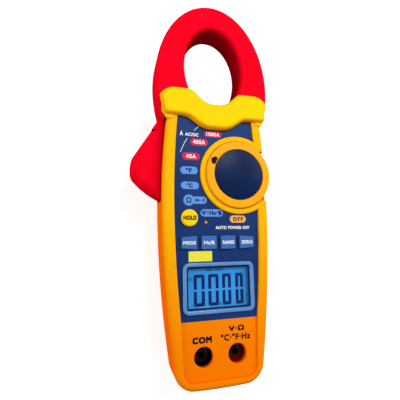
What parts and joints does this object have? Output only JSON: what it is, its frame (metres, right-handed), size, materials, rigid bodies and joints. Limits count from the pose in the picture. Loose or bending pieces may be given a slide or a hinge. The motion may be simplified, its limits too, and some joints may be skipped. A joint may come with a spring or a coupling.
{
  "type": "clamp meter",
  "caption": "Clamp meter with a sprung jaw that closes round a cable, a rotary selector, keys, a display and test sockets.",
  "frame": {"origin": "middle of the flat back that the meter rests on, on the casing's centre plane", "axes": "+Z out of the face, +Y along the meter towards the jaw, +X to the right of someone who reads the display"},
  "size_m": [0.1008, 0.269, 0.0472],
  "materials": {
    "casing_orange": "moulded, semi-gloss",
    "jaw_red": "moulded, semi-gloss",
    "panel_navy": "printed film",
    "bezel_blue": "moulded, glossy",
    "window_clear": "clear acrylic",
    "display_glass": "liquid-crystal glass",
    "backlight_blue": "light guide",
    "strip_rubber": "carbon-layered silicone",
    "white_plastic": "moulded",
    "board_green": "solder resist on glass epoxy",
    "black_plastic": "moulded",
    "capacitor_can": "drawn can",
    "thermistor_blue": "dipped coating",
    "lamp_amber": "cast epoxy",
    "key_blue": "moulded silicone",
    "key_yellow": "moulded silicone",
    "dial_yellow": "moulded, semi-gloss",
    "cap_navy": "moulded, glossy",
    "sleeve_red": "moulded",
    "brass": "turned",
    "steel": "zinc plated",
    "core_steel": "stacked laminations",
    "battery_case": "plain printed wrap",
    "lead_black": "PVC insulation"
  },
  "bodies": {
    "casing": {"front_casing": "casing_orange", "rear_casing": "casing_orange", "face_panel": "panel_navy", "display_bezel": "bezel_blue", "display_window": "window_clear", "lcd_glass": "display_glass", "backlight_panel": "backlight_blue", "lcd_contact_strips": "strip_rubber", "lcd_holder": "white_plastic", "main_board": "board_green", "board_chips": "black_plastic", "board_capacitors": "capacitor_can", "buzzer": "black_plastic", "ptc_thermistor": "thermistor_blue", "key_switches": "black_plastic", "indicator_led": "lamp_amber", "board_screws": "steel", "battery": "battery_case", "battery_terminals": "steel", "battery_snap": "black_plastic", "battery_leads": "lead_black", "case_screws": "steel", "jaw_mount_screws": "steel", "fixed_jaw_front": "jaw_red", "fixed_jaw_back": "jaw_red", "fixed_jaw_core": "core_steel", "fixed_lid_screw": "steel", "hall_sensor": "black_plastic", "sensor_lead": "lead_black", "jaw_pivot_pin": "steel", "jaw_return_spring": "steel", "detent_spring": "steel", "com_socket_sleeve": "black_plastic", "com_contact": "brass", "volt_socket_sleeve": "sleeve_red", "volt_contact": "brass"},
    "moving_jaw": {"moving_jaw_front": "jaw_red", "moving_jaw_back": "jaw_red", "moving_jaw_core": "core_steel", "moving_lid_screws": "steel", "pivot_bush": "brass"},
    "dial": {"selector_dial": "dial_yellow", "dial_cap": "cap_navy", "dial_pointer": "black_plastic", "contact_rotor": "white_plastic", "wiper_contacts": "brass", "dial_screw": "steel"},
    "hold_key": {"hold_key": "key_yellow"},
    "mode_key": {"mode_key": "key_blue"},
    "hertz_key": {"hertz_key": "key_blue"},
    "range_key": {"range_key": "key_blue"},
    "zero_key": {"zero_key": "key_blue"},
    "battery_cover": {"battery_cover": "casing_orange", "battery_cover_screws": "steel"}
  },
  "joints": [
    {"name": "jaw_pivot", "type": "hinge", "parent": "casing", "child": "moving_jaw", "pos_m": [-0.014, 0.076, 0.03], "axis": [0, 0, 1], "range_deg": [0, 24], "stiffness_Nm_per_rad": 0.7, "springref_deg": -20.05, "deforming": ["jaw_return_spring"]},
    {"name": "dial_turn", "type": "hinge", "parent": "casing", "child": "dial", "pos_m": [0.01595, 0.0431, 0.0457], "axis": [0, 0, 1], "range_deg": [-36, 108]},
    {"name": "hold_key_press", "type": "slide", "parent": "casing", "child": "hold_key", "axis": [0, 0, -1], "range_m": [0, 0.0008], "stiffness_N_per_m": 900, "springref_m": -0.0006},
    {"name": "mode_key_press", "type": "slide", "parent": "casing", "child": "mode_key", "axis": [0, 0, -1], "range_m": [0, 0.0008], "stiffness_N_per_m": 900, "springref_m": -0.0006},
    {"name": "hertz_key_press", "type": "slide", "parent": "casing", "child": "hertz_key", "axis": [0, 0, -1], "range_m": [0, 0.0008], "stiffness_N_per_m": 900, "springref_m": -0.0006},
    {"name": "range_key_press", "type": "slide", "parent": "casing", "child": "range_key", "axis": [0, 0, -1], "range_m": [0, 0.0008], "stiffness_N_per_m": 900, "springref_m": -0.0006},
    {"name": "zero_key_press", "type": "slide", "parent": "casing", "child": "zero_key", "axis": [0, 0, -1], "range_m": [0, 0.0008], "stiffness_N_per_m": 900, "springref_m": -0.0006},
    {"name": "cover_lift", "type": "slide", "parent": "casing", "child": "battery_cover", "axis": [0, 0, -1], "range_m": [0, 0.02]}
  ]
}
